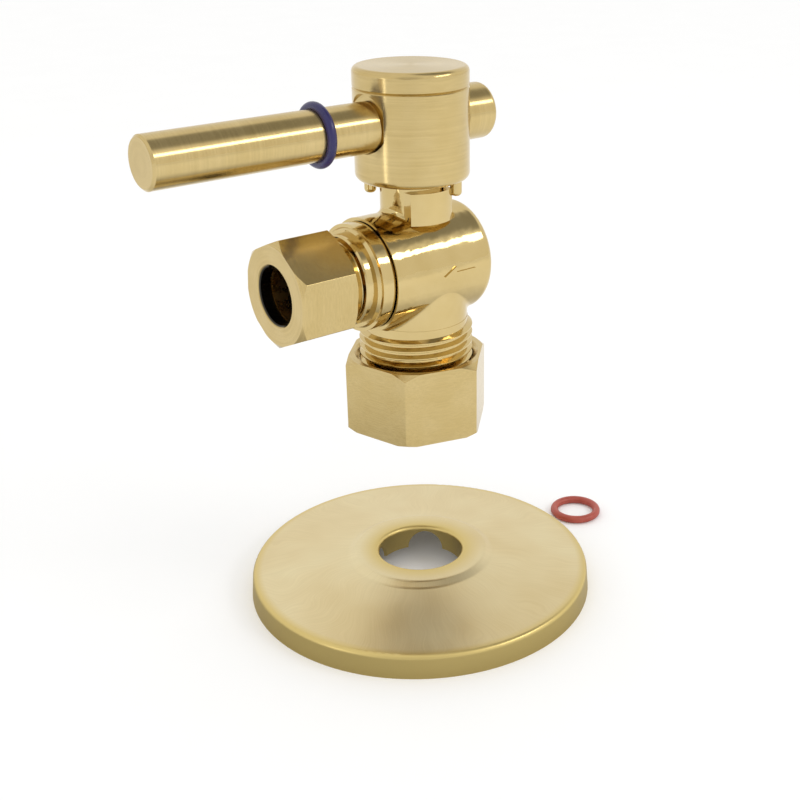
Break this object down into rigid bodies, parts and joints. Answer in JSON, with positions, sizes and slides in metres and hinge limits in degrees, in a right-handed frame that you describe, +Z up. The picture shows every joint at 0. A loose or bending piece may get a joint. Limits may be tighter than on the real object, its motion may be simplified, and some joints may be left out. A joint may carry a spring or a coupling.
{
  "type": "angle stop valve",
  "caption": "Right-angle shut-off valve with a bar lever on a round hub, hex compression nuts at inlet and outlet, a loose wall escutcheon and a spare marker ring.",
  "frame": {"origin": "centre of the body's inlet end face, on the inlet and stem axis", "axes": "+Z up along the inlet and stem axis towards the handle, -X along the outlet axis away from the body, -Y the marked side"},
  "size_m": [0.0985, 0.0666, 0.1005],
  "materials": {
    "body_brass": "brushed",
    "handle_brass": "brushed",
    "nut_brass": "brushed",
    "escutcheon_brass": "satin",
    "inner_brass": "machined",
    "ball_chrome": "polished",
    "ptfe": "matte",
    "seal_rubber": "matte",
    "blue_rubber": "satin",
    "red_rubber": "satin",
    "steel": "machined"
  },
  "bodies": {
    "valve": {"valve_body": "body_brass", "outlet_adapter": "body_brass", "adapter_o_ring": "seal_rubber", "outlet_seat": "ptfe", "back_seat": "ptfe"},
    "handle": {"handle_hub": "handle_brass", "handle_cap": "handle_brass", "handle_screw": "steel", "handle_lock_washer": "steel", "lever": "handle_brass", "lever_end_knob": "handle_brass", "stop_pins": "handle_brass", "indicator_ring": "blue_rubber", "stem": "inner_brass", "stem_thrust_washer": "ptfe", "stem_o_rings": "seal_rubber", "ball": "ball_chrome"},
    "inlet_sleeve": {"inlet_ferrule": "inner_brass"},
    "inlet_clamp_nut": {"inlet_nut": "nut_brass"},
    "outlet_sleeve": {"outlet_ferrule": "inner_brass"},
    "outlet_clamp_nut": {"outlet_nut": "nut_brass"},
    "wall_plate": {"escutcheon": "escutcheon_brass"},
    "loose_ring": {"spare_ring": "red_rubber"}
  },
  "joints": [
    {"name": "handle_turn", "type": "hinge", "parent": "valve", "child": "handle", "pos_m": [0, 0, 0.024], "axis": [0, 0, 1], "range_deg": [0, 90]},
    {"name": "inlet_sleeve_slide", "type": "slide", "parent": "valve", "child": "inlet_sleeve", "axis": [0, 0, 1], "range_m": [-0.00424, 0.00142]},
    {"name": "inlet_nut_turn", "type": "hinge", "parent": "inlet_sleeve", "child": "inlet_clamp_nut", "pos_m": [0, 0, 0], "axis": [0, 0, 1], "range_deg": [-1080, 360]},
    {"name": "outlet_sleeve_slide", "type": "slide", "parent": "valve", "child": "outlet_sleeve", "axis": [1, 0, 0], "range_m": [-0.00318, 0.00106]},
    {"name": "outlet_nut_turn", "type": "hinge", "parent": "outlet_sleeve", "child": "outlet_clamp_nut", "pos_m": [-0.0245, 0, 0.024], "axis": [1, 0, 0], "range_deg": [-1080, 360]},
    {"name": "escutcheon_slide", "type": "slide", "parent": "valve", "child": "wall_plate", "axis": [0, 0, 1], "range_m": [0, 0.022]},
    {"name": "spare_ring_lift", "type": "slide", "parent": "valve", "child": "loose_ring", "axis": [0, 0, 1], "range_m": [0, 0.02]}
  ],
  "couplings": [
    {"joint": "inlet_sleeve_slide", "follows": "inlet_nut_turn", "m_per_rad": 0.00022459},
    {"joint": "outlet_sleeve_slide", "follows": "outlet_nut_turn", "m_per_rad": 0.00016844}
  ]
}
